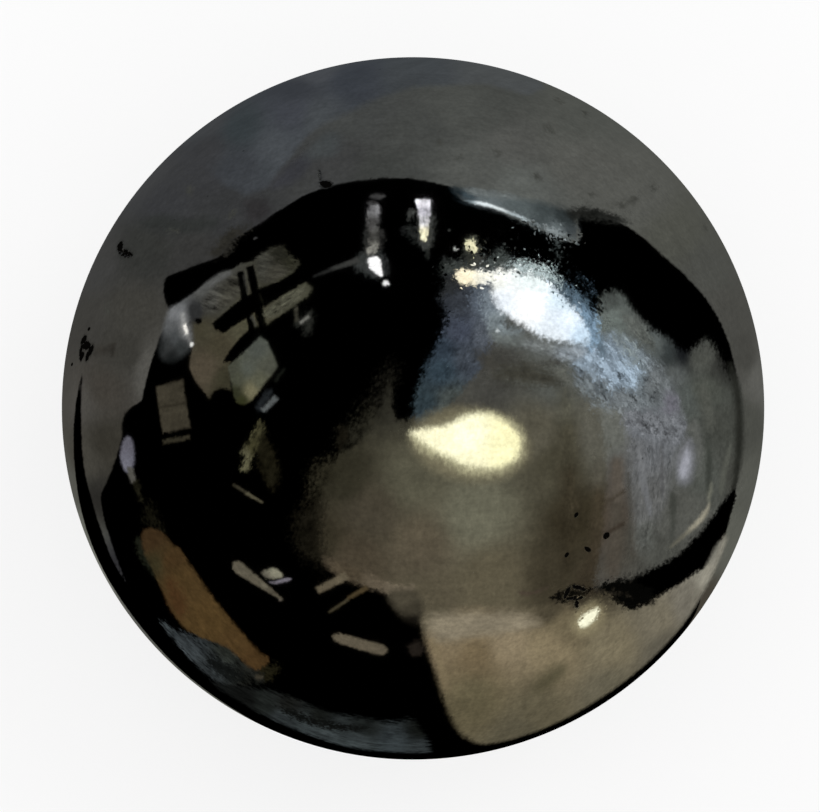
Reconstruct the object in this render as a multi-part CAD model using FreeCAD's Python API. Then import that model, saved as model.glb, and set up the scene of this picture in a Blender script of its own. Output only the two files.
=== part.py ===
import FreeCAD, Part

import math
import os
from collections import namedtuple

# A solid ball of polished steel, in millimetres. The origin is the ball's centre and +Z is up.
# Use has left a few short gouges and pits in it, each a shallow hollow with a rounded floor.

# Driving dimensions
BALL_DIAMETER = 50.8        # a two inch ball
CLUSTER_GOUGE_WIDTH = 0.42  # the short gouges that ring an untouched spot on the ball's left
CLUSTER_GOUGE_DEPTH = 0.060
LONG_GOUGE_WIDTH = 0.44     # the longest single gouge, above the cluster
LONG_GOUGE_DEPTH = 0.070
CROWN_NICK_WIDTH = 0.38     # the nick nearest the crown, with the fine line that leads to it
CROWN_NICK_DEPTH = 0.060
FINE_LINE_WIDTH = 0.16
FINE_LINE_DEPTH = 0.020
SCUFF_WIDTH = 0.26          # the scuff low on the right, a broken ring of light gouges
SCUFF_DEPTH = 0.030
ROUND_PIT_DIAMETER = 0.43   # the one clean pit, as wide as it is long
ROUND_PIT_DEPTH = 0.070
SPECK_WIDTH = 0.22          # the small pits that stand alone
SPECK_DEPTH = 0.035

# One hollow. azimuth runs from +X towards +Y and elevation from the equator towards +Z, in
# degrees. heading is the way its length runs, from due east towards due north, in degrees.
Hollow = namedtuple("Hollow", "azimuth elevation heading length width depth")


def hollows(width, depth, *places):
    """Hollows of one width and depth. A place is its azimuth, elevation, heading and length."""
    return [Hollow(*place, width, depth) for place in places]


GOUGE_CLUSTER = hollows(
    CLUSTER_GOUGE_WIDTH,
    CLUSTER_GOUGE_DEPTH,
    (175.0, 27.2, 147, 0.70),
    (174.6, 29.7, 82, 1.35),
    (175.9, 31.6, 114, 0.85),
    (176.2, 27.9, 96, 0.80),
    (176.6, 30.6, 122, 0.55),
    (173.3, 28.0, 98, 0.95),
)
LONG_GOUGE = hollows(
    LONG_GOUGE_WIDTH,
    LONG_GOUGE_DEPTH,
    (157.5, 34.8, 82, 2.60),
    (156.1, 31.6, 66, 1.10),
)
CROWN_NICK = hollows(
    CROWN_NICK_WIDTH,
    CROWN_NICK_DEPTH,
    (117.9, 62.5, 126, 0.75),
)
FINE_LINE = hollows(
    FINE_LINE_WIDTH,
    FINE_LINE_DEPTH,
    (118.0, 60.4, 75, 1.20),
)
SCUFF = hollows(
    SCUFF_WIDTH,
    SCUFF_DEPTH,
    (-57.1, 45.4, 43, 0.75),
    (-56.2, 43.6, 142, 1.10),
    (-54.4, 44.8, 121, 1.05),
    (-56.4, 42.4, 84, 0.55),
)
ROUND_PIT = hollows(
    ROUND_PIT_DIAMETER,
    ROUND_PIT_DEPTH,
    (-43.4, 48.9, 0, ROUND_PIT_DIAMETER),
)
SPECKS = hollows(
    SPECK_WIDTH,
    SPECK_DEPTH,
    (171.6, 29.6, 89, 0.50),
    (176.7, 22.6, 81, 0.60),
    (-45.8, 55.2, 18, 0.34),
    (-53.1, 51.1, 20, 0.30),
    (-48.5, 49.5, 105, 0.62),
)
MARKS = GOUGE_CLUSTER + LONG_GOUGE + CROWN_NICK + FINE_LINE + SCUFF + ROUND_PIT + SPECKS


def rounded_by(chord, depth):
    """Radius of the circle that dips by depth across a chord of this length."""
    return (chord * chord / 4 + depth * depth) / (2 * depth)


def hollow_cutter(hollow, ball_radius):
    """A lemon-shaped solid that takes this hollow out of the ball where it meets the surface.

    An arc as flat as the hollow is long is turned about an axis above the surface, at the height
    that gives the hollow its width.
    """
    long_radius = rounded_by(hollow.length, hollow.depth)
    cross_radius = rounded_by(hollow.width, hollow.depth)
    half_length = math.sqrt(long_radius ** 2 - (long_radius - cross_radius) ** 2)
    tip = FreeCAD.Vector(half_length, 0, 0)
    belly = FreeCAD.Vector(0, 0, -cross_radius)
    arc = Part.Arc(-tip, belly, tip).toShape()
    axis_edge = Part.LineSegment(tip, -tip).toShape()
    profile = Part.Face(Part.Wire([arc, axis_edge]))
    lemon = profile.revolve(FreeCAD.Vector(0, 0, 0), FreeCAD.Vector(1, 0, 0), 360)

    # Lift it along +Z, turn it to its heading, then carry it over the ball to its place.
    lemon.translate(FreeCAD.Vector(0, 0, ball_radius - hollow.depth + cross_radius))
    centre = FreeCAD.Vector(0, 0, 0)
    east_is_x = hollow.heading + 90
    lemon.rotate(centre, FreeCAD.Vector(0, 0, 1), east_is_x)
    lemon.rotate(centre, FreeCAD.Vector(0, 1, 0), 90 - hollow.elevation)
    lemon.rotate(centre, FreeCAD.Vector(0, 0, 1), hollow.azimuth)
    return lemon


def steel_ball():
    """The ball as turned and ground, less every mark that use has left."""
    ball_radius = BALL_DIAMETER / 2
    ball = Part.makeSphere(ball_radius)
    for mark in MARKS:
        ball = ball.cut(hollow_cutter(mark, ball_radius))
    return ball.Solids[0]


os.makedirs("parts", exist_ok=True)
steel_ball().exportStep("parts/steel_ball.step")
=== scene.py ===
"""Looks of the steel ball: one polished ball, nicked and a little hazy, on a pale studio floor.

The ball is a cube-mapped mesh with its nicks, gouges and pits in the geometry. Its finish is a
procedural steel: thin smears, a frosted area, orange peel, specks, and darker, rougher, less metal
steel in and round the marks. Its polish sees only emitting cards, hung round it in front of a black
drape. Their outlines and shades follow the reflections in the photo, and are laid out for this one
camera, so other views see them aslant.
The world and the lamps light the pale floor. The polish sees none of those three.
"""

import math
from collections import namedtuple

import bmesh
import bpy
import numpy as np
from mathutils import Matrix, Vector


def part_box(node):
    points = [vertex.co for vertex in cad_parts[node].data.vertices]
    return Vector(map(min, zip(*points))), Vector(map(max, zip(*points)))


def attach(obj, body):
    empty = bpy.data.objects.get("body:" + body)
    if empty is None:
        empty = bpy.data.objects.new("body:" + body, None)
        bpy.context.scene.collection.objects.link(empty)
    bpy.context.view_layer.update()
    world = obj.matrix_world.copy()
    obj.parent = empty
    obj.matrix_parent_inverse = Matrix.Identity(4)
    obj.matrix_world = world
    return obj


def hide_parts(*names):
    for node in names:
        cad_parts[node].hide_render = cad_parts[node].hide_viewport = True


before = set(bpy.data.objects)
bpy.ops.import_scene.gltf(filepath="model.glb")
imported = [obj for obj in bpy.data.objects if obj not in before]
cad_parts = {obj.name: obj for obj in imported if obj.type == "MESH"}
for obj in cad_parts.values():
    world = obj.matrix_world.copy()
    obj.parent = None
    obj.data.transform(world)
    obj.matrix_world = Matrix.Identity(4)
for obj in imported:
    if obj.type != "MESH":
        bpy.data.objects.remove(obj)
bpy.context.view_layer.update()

NODE = "steel_ball"
LOW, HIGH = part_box(NODE)
RADIUS = (HIGH.z - LOW.z) / 2
MM = 0.001


# ---------------------------------------------------------------- node helper

class Graph:
    """Adds nodes to one material or world and links them by socket name."""

    def __init__(self, owner):
        owner.use_nodes = True
        self.tree = owner.node_tree
        self.tree.nodes.clear()

    def node(self, kind, inputs=None, **settings):
        made = self.tree.nodes.new(kind)
        for name, value in settings.items():
            setattr(made, name, value)
        for name, value in (inputs or {}).items():
            if isinstance(value, bpy.types.NodeSocket):
                self.tree.links.new(value, made.inputs[name])
            else:
                made.inputs[name].default_value = value
        return made

    def math(self, operation, *values):
        made = self.node("ShaderNodeMath", dict(enumerate(values)), operation=operation)
        return made.outputs[0]

    def vector(self, operation, first, second, result="Vector"):
        made = self.node("ShaderNodeVectorMath", {0: first, 1: second}, operation=operation)
        return made.outputs[result]

    def noise(self, vector, scale, detail=2.0, roughness=0.5, distortion=0.0):
        inputs = {
            "Vector": vector,
            "Scale": scale,
            "Detail": detail,
            "Roughness": roughness,
            "Distortion": distortion,
        }
        return self.node("ShaderNodeTexNoise", inputs).outputs["Fac"]

    def step(self, value, start, end, low=0.0, high=1.0):
        """Rises smoothly from low to high as value goes from start to end."""
        inputs = {"Value": value, "From Min": start, "From Max": end, "To Min": low, "To Max": high}
        made = self.node("ShaderNodeMapRange", inputs, interpolation_type="SMOOTHSTEP")
        return made.outputs["Result"]

    def scale(self, vector, length):
        made = self.node("ShaderNodeVectorMath", {0: vector, "Scale": length}, operation="SCALE")
        return made.outputs[0]

    def mix(self, share, first, second):
        """Blends two colours. 6, 7 and 2 are a Mix node's colour sockets."""
        made = self.node("ShaderNodeMix", {0: share}, data_type="RGBA")
        for index, value in ((6, first), (7, second)):
            if isinstance(value, bpy.types.NodeSocket):
                self.tree.links.new(value, made.inputs[index])
            else:
                made.inputs[index].default_value = value
        return made.outputs[2]

    def attribute(self, name, result="Fac"):
        return self.node("ShaderNodeAttribute", attribute_name=name).outputs[result]


def direction(azimuth, elevation):
    """Unit vectors at an azimuth from +X towards +Y and an elevation, in degrees."""
    a = np.radians(azimuth)
    e = np.radians(elevation)
    return np.array([np.cos(e) * np.cos(a), np.cos(e) * np.sin(a), np.sin(e)])


def unit(vectors):
    """The same directions at length 1."""
    return vectors / np.linalg.norm(vectors, axis=1)[:, None]


def mesh_from(bm, name):
    """Turns a bmesh into a mesh, and frees it."""
    mesh = bpy.data.meshes.new(name)
    bm.to_mesh(mesh)
    bm.free()
    return mesh


def in_scene(name, data):
    """A new object in the scene."""
    thing = bpy.data.objects.new(name, data)
    bpy.context.scene.collection.objects.link(thing)
    return thing


def measured(blocks, field, kind, each=1):
    """One field of all of a mesh's vertices, loops or polygons, as an array."""
    values = np.zeros(len(blocks) * each, kind)
    blocks.foreach_get(field, values)
    return values


# ---------------------------------------------------------------- the ball's marks

# One hollow in the surface, in millimetres and degrees: where it lies, the way it runs (from due
# east towards due north), its length, width and depth, and how many widths past its rim the steel
# is darkened.
Hollow = namedtuple("Hollow", "azimuth elevation heading length width depth smear")


def hollows(places, width, depth, smear):
    return [Hollow(*place, width, depth, smear) for place in places]


GOUGE_CLUSTER = [
    (175.0, 27.2, 147, 0.70),
    (174.6, 29.7, 82, 1.35),
    (175.9, 31.6, 114, 0.85),
    (176.2, 27.9, 96, 0.80),
    (176.6, 30.6, 122, 0.55),
    (173.3, 28.0, 98, 0.95),
]
LONG_GOUGE = [(157.5, 34.8, 82, 2.60), (156.1, 31.6, 66, 1.10)]
CROWN_NICK = [(117.9, 62.5, 126, 0.75)]
FINE_LINE = [(118.0, 60.4, 75, 1.20)]
SCUFF = [
    (-57.1, 45.4, 43, 0.75),
    (-56.2, 43.6, 142, 1.10),
    (-54.4, 44.8, 121, 1.05),
    (-56.4, 42.4, 84, 0.55),
]
ROUND_PIT = [(-43.4, 48.9, 0, 0.43)]
SPECKS = [
    (171.6, 29.6, 89, 0.50),
    (176.7, 22.6, 81, 0.60),
    (-45.8, 55.2, 18, 0.34),
    (-53.1, 51.1, 20, 0.30),
    (-48.5, 49.5, 105, 0.62),
]
# What mark_ovals gives on the far side of the ball.
FAR_SIDE = 99.0

MARKS = (
    hollows(GOUGE_CLUSTER, 0.42, 0.060, 1.0)
    + hollows(LONG_GOUGE, 0.44, 0.070, 1.0)
    + hollows(CROWN_NICK, 0.38, 0.060, 0.7)
    + hollows(FINE_LINE, 0.16, 0.020, 1.0)
    + hollows(SCUFF, 0.26, 0.030, 1.3)
    + hollows(ROUND_PIT, 0.43, 0.070, 0.15)
    + hollows(SPECKS, 0.22, 0.035, 0.3)
)


def mark_ovals(dirs, mark):
    """How far each direction lies from the middle of a mark: 1 on its rim."""
    a = math.radians(mark.azimuth)
    e = math.radians(mark.elevation)
    h = math.radians(mark.heading)
    east = np.array([-math.sin(a), math.cos(a), 0.0])
    north = np.array([-math.sin(e) * math.cos(a), -math.sin(e) * math.sin(a), math.cos(e)])
    along = math.cos(h) * east + math.sin(h) * north
    across = math.cos(h) * north - math.sin(h) * east
    radius = RADIUS / MM
    u = dirs @ along * radius / (mark.length / 2)
    v = dirs @ across * radius / (mark.width / 2)
    facing = dirs @ direction(mark.azimuth, mark.elevation)
    return np.where(facing > 0, np.hypot(u, v), FAR_SIDE)


def sunk(dirs):
    """Depth below the round surface, in millimetres, at each direction."""
    deepest = np.zeros(len(dirs))
    for mark in MARKS:
        oval = mark_ovals(dirs, mark)
        deepest = np.maximum(deepest, mark.depth * np.clip(1 - oval**2, 0, 1))
    return deepest


# Marks at least this deep and at most this long, in millimetres, are darkened fully all through.
DARKEST_DEPTH = 0.042
DARKEST_LENGTH = 1.7


def mark_darkening(dirs):
    """Darkening in and round the marks, strongest in deep short ones, fading out past their rims.
    """
    darkest = np.zeros(len(dirs))
    for mark in MARKS:
        rim = 2 * mark.smear * mark.width
        wider = mark._replace(length=mark.length + rim, width=mark.width + rim)
        within = 1 - mark_ovals(dirs, wider)
        beyond = np.maximum(mark_ovals(dirs, mark) - 1, 0)
        mark_darkness = np.where(within > 0, within / np.maximum(within + beyond, 1e-9), 0)
        kept = min(1, mark.depth / DARKEST_DEPTH) * min(1, DARKEST_LENGTH / mark.length)
        darkest = np.maximum(darkest, mark_darkness * kept)
    return darkest


# ---------------------------------------------------------------- the ball's mesh

FACE_CELLS = 96
# Cells this near a mark, in millimetres, are halved, and again at the next reach.
FINE_REACHES = (0.55, 0.30, 0.15)
# Half the length, in millimetres, over which the surface's slope is measured.
NORMAL_STEP = 0.01
# Share of a baked square that stays empty on each side of a cube face.
UV_MARGIN = 0.012
CUBE_FACES = [
    ((1, 0, 0), (0, 1, 0), (0, 0, 1)),
    ((-1, 0, 0), (0, -1, 0), (0, 0, 1)),
    ((0, 1, 0), (-1, 0, 0), (0, 0, 1)),
    ((0, -1, 0), (1, 0, 0), (0, 0, 1)),
    ((0, 0, 1), (0, 1, 0), (-1, 0, 0)),
    ((0, 0, -1), (0, 1, 0), (1, 0, 0)),
]


def cube_ball():
    """A bmesh of unit radius: six square grids with even angles, welded along the cube's edges."""
    bm = bmesh.new()
    steps = np.tan(np.linspace(-math.pi / 4, math.pi / 4, FACE_CELLS + 1))
    welded = {}
    for out, right, up in np.array(CUBE_FACES, float):
        grid = []
        for t in steps:
            row = []
            for s in steps:
                point = out + s * right + t * up
                point /= np.linalg.norm(point)
                # Adding 0.0 turns -0.0 into 0.0.
                key = tuple(np.round(point, 6) + 0.0)
                if key not in welded:
                    welded[key] = bm.verts.new(point)
                row.append(welded[key])
            grid.append(row)
        for low, high in zip(grid, grid[1:]):
            for a, b, c, d in zip(low, low[1:], high[1:], high):
                bm.faces.new((a, b, c, d))
    return bm


def refine_near_marks(bm):
    """Halves the cells round each mark, step by step, so that its walls are real geometry."""
    for reach in FINE_REACHES:
        bm.faces.ensure_lookup_table()
        centres = unit(np.array([face.calc_center_median() for face in bm.faces]))
        near = np.zeros(len(centres), bool)
        for mark in MARKS:
            gap = np.arccos(np.clip(centres @ direction(mark.azimuth, mark.elevation), -1, 1))
            close = gap * RADIUS / MM < mark.length / 2 + reach
            wide = mark._replace(length=mark.length + 2 * reach, width=mark.width + 2 * reach)
            near |= close & (mark_ovals(centres, wide) < 1)
        edges = {edge for index in np.flatnonzero(near) for edge in bm.faces[index].edges}
        bmesh.ops.subdivide_edges(bm, edges=list(edges), cuts=1, use_grid_fill=True)


def surface_normals(dirs):
    """Exact normals of the sunk surface, from its slope along two tangents."""
    nudge = NORMAL_STEP * MM / RADIUS
    helper = np.where(np.abs(dirs[:, 2:3]) < 0.9, [[0.0, 0.0, 1.0]], [[1.0, 0.0, 0.0]])
    first = unit(np.cross(helper, dirs))
    second = np.cross(dirs, first)
    normals = dirs.copy()
    for tangent in (first, second):
        ahead = unit(dirs + nudge * tangent)
        behind = unit(dirs - nudge * tangent)
        slope = (sunk(behind) - sunk(ahead)) * MM / (2 * nudge * RADIUS)
        normals -= slope[:, None] * tangent
    return unit(normals)


def cube_layout(mesh, dirs):
    """A UV map of the six cube faces in three columns and two rows, for baking."""
    frames = np.array(CUBE_FACES, float)
    corners = measured(mesh.loops, "vertex_index", int)
    starts = measured(mesh.polygons, "loop_start", int)
    counts = measured(mesh.polygons, "loop_total", int)
    polygon_of = np.repeat(np.arange(len(starts)), counts)
    middles = np.add.reduceat(dirs[corners], starts, axis=0)
    side = np.argmax(middles @ frames[:, 0].T, axis=1)[polygon_of]
    d = dirs[corners]
    out = (d * frames[side, 0]).sum(1)
    s = np.arctan((d * frames[side, 1]).sum(1) / out) / (math.pi / 2) + 0.5
    t = np.arctan((d * frames[side, 2]).sum(1) / out) / (math.pi / 2) + 0.5
    s = UV_MARGIN + s * (1 - 2 * UV_MARGIN)
    t = UV_MARGIN + t * (1 - 2 * UV_MARGIN)
    places = np.stack([(side % 3 + s) / 3, (side // 3 + t) / 2], axis=1)
    layer = mesh.uv_layers.new(name="OFBake")
    layer.data.foreach_set("uv", places.astype(np.float32).ravel())


def make_ball():
    bm = cube_ball()
    refine_near_marks(bm)
    mesh = mesh_from(bm, "polished_ball")
    dirs = unit(measured(mesh.vertices, "co", float, 3).reshape(-1, 3))
    depth = sunk(dirs)
    places = dirs * (RADIUS - depth[:, None] * MM)
    mesh.vertices.foreach_set("co", places.ravel())
    mesh.polygons.foreach_set("use_smooth", np.ones(len(mesh.polygons), bool))
    # How strongly the steel is darkened at each point, in and round the marks.
    mark_darkness = mesh.attributes.new("mark_darkness", "FLOAT", "POINT")
    mark_darkness.data.foreach_set("value", mark_darkening(dirs).astype(np.float32))
    cube_layout(mesh, dirs)
    mesh.update()
    mesh.normals_split_custom_set_from_vertices(surface_normals(dirs))
    mesh.materials.append(polished_steel())
    return in_scene("polished_ball", mesh)


# ---------------------------------------------------------------- the ball's finish

STEEL = (0.370, 0.368, 0.366)
# The dark colour, with no metal, of the darkened marks and of the specks.
DARK_SPOT_COLOUR = (0.0018, 0.0016, 0.0014)
# How dark the fine specks are, with the darkened marks at 1.
SPECK_STRENGTH = 0.55
# How much rougher the darkened marks are than the polish.
DARK_MARK_ROUGHNESS = 0.4
# Millimetres from the hollows of the orange peel to its tops, at most.
PEEL_HEIGHT = 0.0001
# How far the tiny flats lean, everywhere and where the steel is frosted.
LEAN = 0.0012
FROSTED_LEAN = 0.013

# Finely pitted spots: azimuth, elevation, reach and fade in millimetres, strength.
FROSTED = [
    (31.0, 66.0, 1.6, 2.6, 1.0),
    (45.5, 72.3, 1.2, 2.0, 1.0),
    (49.0, 81.4, 1.6, 1.6, 0.5),
    (-51.5, 40.9, 1.4, 1.6, 0.4),
    (-11.0, 58.0, 2.5, 3.0, 0.4),
]


def patch(g, place, azimuth, elevation, reach, fade):
    """1 within reach millimetres of a spot on the ball, falling to 0 over fade millimetres."""
    centre = direction(azimuth, elevation) * RADIUS / MM
    gap = g.vector("DISTANCE", place, tuple(centre), "Value")
    return g.step(gap, reach + fade, reach)


def polished_steel():
    """Mirror-bright steel under thin smears, with a frosted, finely pitted area. In millimetres."""
    material = bpy.data.materials.new("polished_steel")
    g = Graph(material)
    place = g.node("ShaderNodeTexCoord").outputs["Object"]
    place = g.vector("MULTIPLY", place, (1 / MM, 1 / MM, 1 / MM))

    smears = g.noise(place, scale=0.11, detail=4.0, roughness=0.6, distortion=0.8)
    cloud_place = g.vector("MULTIPLY", place, (0.5, 0.22, 0.4))
    clouds = g.noise(cloud_place, scale=0.9, detail=5.0, roughness=0.62, distortion=0.4)
    stroke_place = g.vector("MULTIPLY", place, (0.5, 1.6, 1.6))
    strokes = g.noise(stroke_place, scale=0.9, detail=4.0, roughness=0.65)
    grain = g.noise(place, scale=3.6, detail=3.0, roughness=0.6)

    frosted = 0.0
    for azimuth, elevation, reach, fade, strength in FROSTED:
        spot = g.math("MULTIPLY", patch(g, place, azimuth, elevation, reach, fade), strength)
        frosted = g.math("MAXIMUM", frosted, spot)

    film = g.step(smears, 0.35, 0.70, 1.0, 0.92)
    film = g.math("MULTIPLY", film, g.step(clouds, 0.30, 0.72, 1.04, 0.94))
    film = g.math("MULTIPLY", film, g.step(strokes, 0.28, 0.72, 0.91, 1.07))
    film = g.math("MULTIPLY", film, g.step(grain, 0.25, 0.75, 0.88, 1.10))
    filmed = g.scale(STEEL, film)

    # The marks darken the steel solidly where their darkening is strong, and in thin patches where
    # it is weak.
    mark_darkness = g.attribute("mark_darkness")
    patchy = g.noise(place, scale=2.6, detail=5.0, roughness=0.75)
    dark_patch = g.step(g.math("MULTIPLY_ADD", patchy, 1.8, mark_darkness), 1.34, 1.50)
    faint_dark = g.math("MULTIPLY", g.step(mark_darkness, 0.0, 0.5, 0.0, 0.7), g.step(patchy, 0.38, 0.58))
    dark_patch = g.math("MAXIMUM", dark_patch, faint_dark)
    dark_spots = g.math("MAXIMUM", dark_patch, g.math("MULTIPLY", specks(g, place), SPECK_STRENGTH))
    colour = g.mix(dark_spots, filmed, (*DARK_SPOT_COLOUR, 1))

    rough = g.step(clouds, 0.35, 0.75, 0.030, 0.052)
    rough = g.math("MULTIPLY_ADD", dark_patch, DARK_MARK_ROUGHNESS, rough)

    height = g.math("MULTIPLY", g.noise(place, scale=7.0, detail=2.0, roughness=0.6), PEEL_HEIGHT)
    bump = g.node("ShaderNodeBump", {"Height": height, "Strength": 1.0, "Distance": MM})
    leaning = g.vector("ADD", bump.outputs["Normal"], facets(g, place, frosted))

    shader = g.node("ShaderNodeBsdfPrincipled", {
        "Base Color": colour,
        "Metallic": g.step(dark_spots, 0.8, 1.0, 1.0, 0.0),
        "Roughness": rough,
        "Specular IOR Level": 0.0,
        "Normal": g.vector("NORMALIZE", leaning, (0.0, 0.0, 0.0)),
    })
    g.node("ShaderNodeOutputMaterial", {"Surface": shader.outputs[0]})
    return material


def specks(g, place):
    """Small dark specks, in loose groups."""
    cells = g.node("ShaderNodeTexVoronoi", {"Vector": place, "Scale": 0.9}, feature="F1")
    spread = g.step(cells.outputs["Distance"], 0.10, 0.05)
    draw = g.node("ShaderNodeSeparateColor", {0: cells.outputs["Color"]}).outputs[0]
    groups = g.step(g.noise(place, scale=0.16, detail=2.0, roughness=0.5), 0.54, 0.70, 0.99, 0.80)
    return g.math("MULTIPLY", spread, g.math("GREATER_THAN", draw, groups))


def facets(g, place, frosted):
    """Tiny flats that lean at random: a little everywhere, and far more where it is frosted.

    A rare few lean up to 8 times as far as the rest.
    """
    warp = g.node("ShaderNodeTexNoise", {"Vector": place, "Scale": 2.2, "Detail": 2.0})
    warped = g.vector("ADD", place, g.vector("MULTIPLY", warp.outputs["Color"], (0.5, 0.5, 0.5)))
    cells = g.node("ShaderNodeTexVoronoi", {"Vector": warped, "Scale": 6.5}, feature="F1")
    lean = g.vector("SUBTRACT", cells.outputs["Color"], (0.5, 0.5, 0.5))
    draw = g.node("ShaderNodeTexWhiteNoise", {"Vector": cells.outputs["Position"]}).outputs["Value"]
    rare = g.math("MULTIPLY_ADD", g.math("POWER", draw, 8.0), 7.0, 1.0)
    much = g.math("MULTIPLY", rare, g.math("MULTIPLY_ADD", frosted, FROSTED_LEAN, LEAN))
    return g.scale(lean, much)


# ---------------------------------------------------------------- studio directions

LENS_ELEVATION = math.radians(80)
LENS_WAY = np.array([0.0, -math.cos(LENS_ELEVATION), math.sin(LENS_ELEVATION)])
ACROSS = np.array([1.0, 0.0, 0.0])
UPWARD = np.cross(LENS_WAY, ACROSS)
CAMERA_DISTANCE = 5.602 * RADIUS
# In ball radii: the cards hang on a round shell, each a step inside the last.
CARD_SHELL = 12.0
CARD_FLOOR = 0.995
LAYER_STEP = 0.0005
# Rounds of the sum that finds where on the ball a place is mirrored.
SLANT_ROUNDS = 12


def slant(off, reach):
    """How aslant the ball shows the lens a place that lies this far off, at this reach."""
    aslant = off / 2
    for _ in range(SLANT_ROUNDS):
        bend = np.arcsin(np.sin(aslant) * RADIUS / CAMERA_DISTANCE)
        bend += np.arcsin(np.sin(aslant) / np.maximum(reach, 1.0))
        aslant = np.minimum((off + bend) / 2, math.pi / 2)
    return aslant


def aside(off, sideways):
    """Directions this far off the lens's, towards sideways."""
    return np.cos(off)[:, None] * LENS_WAY + np.sin(off)[:, None] * sideways


def last_shown(sideways):
    """How far off the ball's outline shows the floor, on each side."""
    lens_angle = np.full(len(sideways), math.asin(RADIUS / CAMERA_DISTANCE))
    rim = aside(math.pi / 2 - lens_angle, sideways)
    ray = aside(math.pi - lens_angle, sideways)
    run = (CARD_FLOOR + rim[:, 2]) / -ray[:, 2]
    spot = rim + run[:, None] * ray
    return np.arctan2((spot * sideways).sum(axis=1), spot @ LENS_WAY)


def hang(points, layer):
    """Chart points to places on the shell.

    The chart takes a place below the ball's middle as lying on the floor. It is slid from there to
    the shell along the line on which the ball shows it to the lens. What lies past the ball's
    outline fills the rest of the shell.
    """
    off = np.radians(np.hypot(points[:, 0], points[:, 1]))
    turn = np.arctan2(points[:, 0], points[:, 1])
    sideways = np.sin(turn)[:, None] * ACROSS + np.cos(turn)[:, None] * UPWARD
    shell = CARD_SHELL * (1 - LAYER_STEP * layer)
    down = np.maximum(-aside(off, sideways)[:, 2], 1e-6)
    reach = np.clip(CARD_FLOOR / down, 1.0, CARD_SHELL)
    leaving = np.sin(slant(off, reach))
    slid = off + np.arcsin(leaving / reach) - np.arcsin(leaving / shell)
    rim = last_shown(sideways)
    outline = math.pi - math.asin(RADIUS / CAMERA_DISTANCE) - math.asin(1 / shell)
    past = outline + (off - rim) / (math.pi - rim) * (math.pi - outline)
    return aside(np.where(off > rim, past, slid), sideways) * shell * RADIUS


# ---------------------------------------------------------------- card outlines

# Cards are drawn on a flat chart of the directions round the ball: degrees across to the right
# and up, measured from the line between ball and lens.

def straight(*corners):
    return np.array(corners, float)


def bends(before, here, after, later):
    """Four places along a smooth curve from each point to the next."""
    places = []
    for share in (0.0, 0.25, 0.5, 0.75):
        square = share * share
        cube = square * share
        places.append(0.5 * (2 * here + (after - before) * share
                             + (2 * before - 5 * here + 4 * after - later) * square
                             + (3 * here - before - 3 * after + later) * cube))
    return np.stack(places, axis=1).reshape(-1, 2)


def curved(*corners):
    """A smooth closed outline through the corners."""
    p = np.array(corners, float)
    return bends(np.roll(p, 1, axis=0), p, np.roll(p, -1, axis=0), np.roll(p, -2, axis=0))


def runs(*parts):
    """A closed outline of smooth runs. Each starts at the corner where the one before it ends."""
    corner = parts[-1][-1]
    pieces = []
    for part in parts:
        p = np.array([corner, *part], float)
        pieces.append(bends(p[[0, *range(len(p) - 2)]], p[:-1], p[1:], p[[*range(2, len(p)), -1]]))
        corner = part[-1]
    return np.concatenate(pieces)


def ellipse(centre, long, short, tilt=0.0):
    """Tilt turns the long side anticlockwise from level."""
    a = np.linspace(0, 2 * math.pi, 24, endpoint=False)
    t = math.radians(tilt)
    x = long * np.cos(a)
    y = short * np.sin(a)
    spun = np.stack([x * math.cos(t) - y * math.sin(t), x * math.sin(t) + y * math.cos(t)], axis=-1)
    return np.array(centre) + spun


def bar(start, end, width, end_width=None):
    """A straight bar with square ends, tapered if its two widths differ."""
    a = np.array(start, float)
    b = np.array(end, float)
    run = (b - a) / np.linalg.norm(b - a)
    side = np.array([-run[1], run[0]]) / 2
    last = width if end_width is None else end_width
    return np.array([a + side * width, b + side * last, b - side * last, a - side * width])


def capsule(start, end, width, end_width=None):
    """A bar with round ends."""
    a = np.array(start, float)
    b = np.array(end, float)
    last = width if end_width is None else end_width
    heading = math.atan2(*(b - a)[::-1])
    turns = np.linspace(math.pi / 2, 3 * math.pi / 2, 9) + heading
    round_end = np.stack([np.cos(turns), np.sin(turns)], axis=-1) / 2
    return np.concatenate([a + round_end * width, b - round_end * last])


def inside(points, shape):
    """Signed distance in degrees from each point to the outline, positive inside."""
    nearest = np.full(len(points), 1e9)
    odd = np.zeros(len(points), bool)
    for a, b in zip(shape, np.roll(shape, -1, axis=0)):
        run = b - a
        share = np.clip(((points - a) @ run) / (run @ run), 0, 1)
        nearest = np.minimum(nearest, np.linalg.norm(points - a - share[:, None] * run, axis=1))
        if a[1] != b[1]:
            crosses = (a[1] > points[:, 1]) != (b[1] > points[:, 1])
            level = a[0] + (points[:, 1] - a[1]) / (b[1] - a[1]) * run[0]
            odd ^= crosses & (points[:, 0] < level)
    return np.where(odd, nearest, -nearest)


def seen(red, green, blue):
    """Light that a mirror shows as this screen shade, 0 to 255, by the sRGB curve."""
    shade = np.array([red, green, blue]) / 255
    return np.where(shade <= 0.04045, shade / 12.92, ((shade + 0.055) / 1.055) ** 2.4)


# Share of the light that the steel mirrors where it is seen straight on.
STRAIGHT_ON = 0.350


def mirrored(places):
    """Share of the light at each place that the steel sends to the lens: more if seen aslant.

    It follows Schlick's rule.
    """
    distance = np.linalg.norm(places, axis=1)
    off = np.arccos(places @ LENS_WAY / distance)
    return STRAIGHT_ON + (1 - STRAIGHT_ON) * (1 - np.cos(slant(off, distance / RADIUS))) ** 5


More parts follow.
